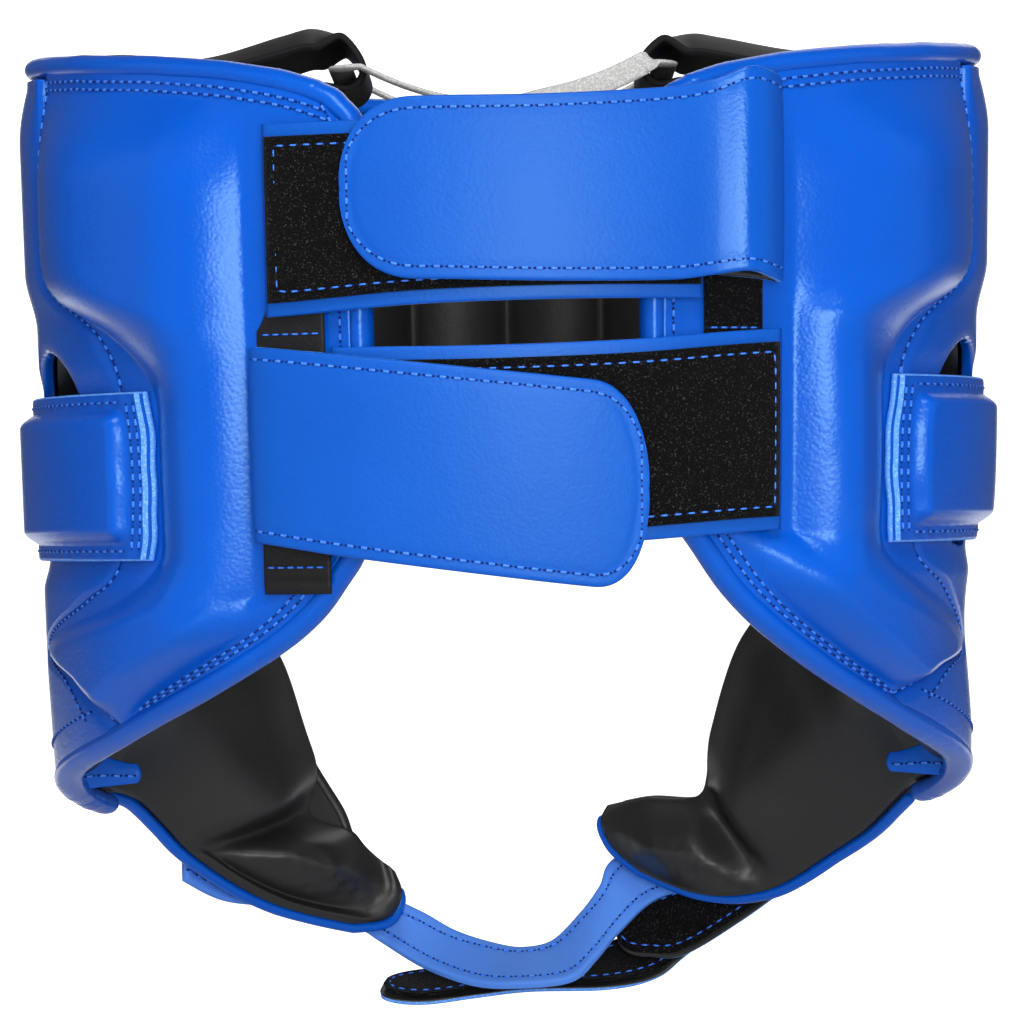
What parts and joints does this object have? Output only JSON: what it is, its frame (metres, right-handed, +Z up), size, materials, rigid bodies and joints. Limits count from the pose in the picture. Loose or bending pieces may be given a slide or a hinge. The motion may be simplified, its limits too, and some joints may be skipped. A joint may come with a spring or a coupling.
{
  "type": "sparring head guard",
  "caption": "Padded blue leather head guard with black lining, rear hook-and-loop straps, ear bands, a laced crown and a chin strap.",
  "frame": {"origin": "crown point on the mid-plane, level with the crown lacing, where the guard sits on the top of a head", "axes": "+Z up along the wearer's head, +Y towards the face opening, +X towards the wearer's right side"},
  "size_m": [0.2345, 0.2426, 0.2439],
  "materials": {
    "blue_leather": "satin",
    "black_leather": "satin",
    "loop_pile": "matte",
    "white_lace": "matte"
  },
  "bodies": {
    "root": {"left_back_panel": "blue_leather", "left_ear_panel": "blue_leather", "left_cheek_pad": "blue_leather", "left_edge_binding": "blue_leather", "left_cheek_piping": "blue_leather", "left_ear_band": "blue_leather", "left_lining": "black_leather", "left_cheek_lining": "black_leather", "left_crown_tab": "black_leather", "left_strap_anchor": "black_leather", "right_back_panel": "blue_leather", "right_ear_panel": "blue_leather", "right_cheek_pad": "blue_leather", "right_edge_binding": "blue_leather", "right_cheek_piping": "blue_leather", "right_ear_band": "blue_leather", "right_lining": "black_leather", "right_cheek_lining": "black_leather", "right_crown_tab": "black_leather", "right_strap_anchor": "black_leather", "forehead_pad": "blue_leather", "forehead_lining": "black_leather", "top_binding": "blue_leather", "face_piping": "black_leather", "crown_lace": "white_lace", "upper_base_strap": "blue_leather", "upper_loop_tape": "loop_pile", "upper_flap": "blue_leather", "lower_base_strap": "blue_leather", "lower_loop_tape": "loop_pile", "lower_flap": "blue_leather", "chin_strap": "blue_leather", "chin_tab": "blue_leather", "chin_tab_tape": "loop_pile", "chin_tail": "blue_leather", "chin_tail_tape": "loop_pile"}
  },
  "joints": []
}
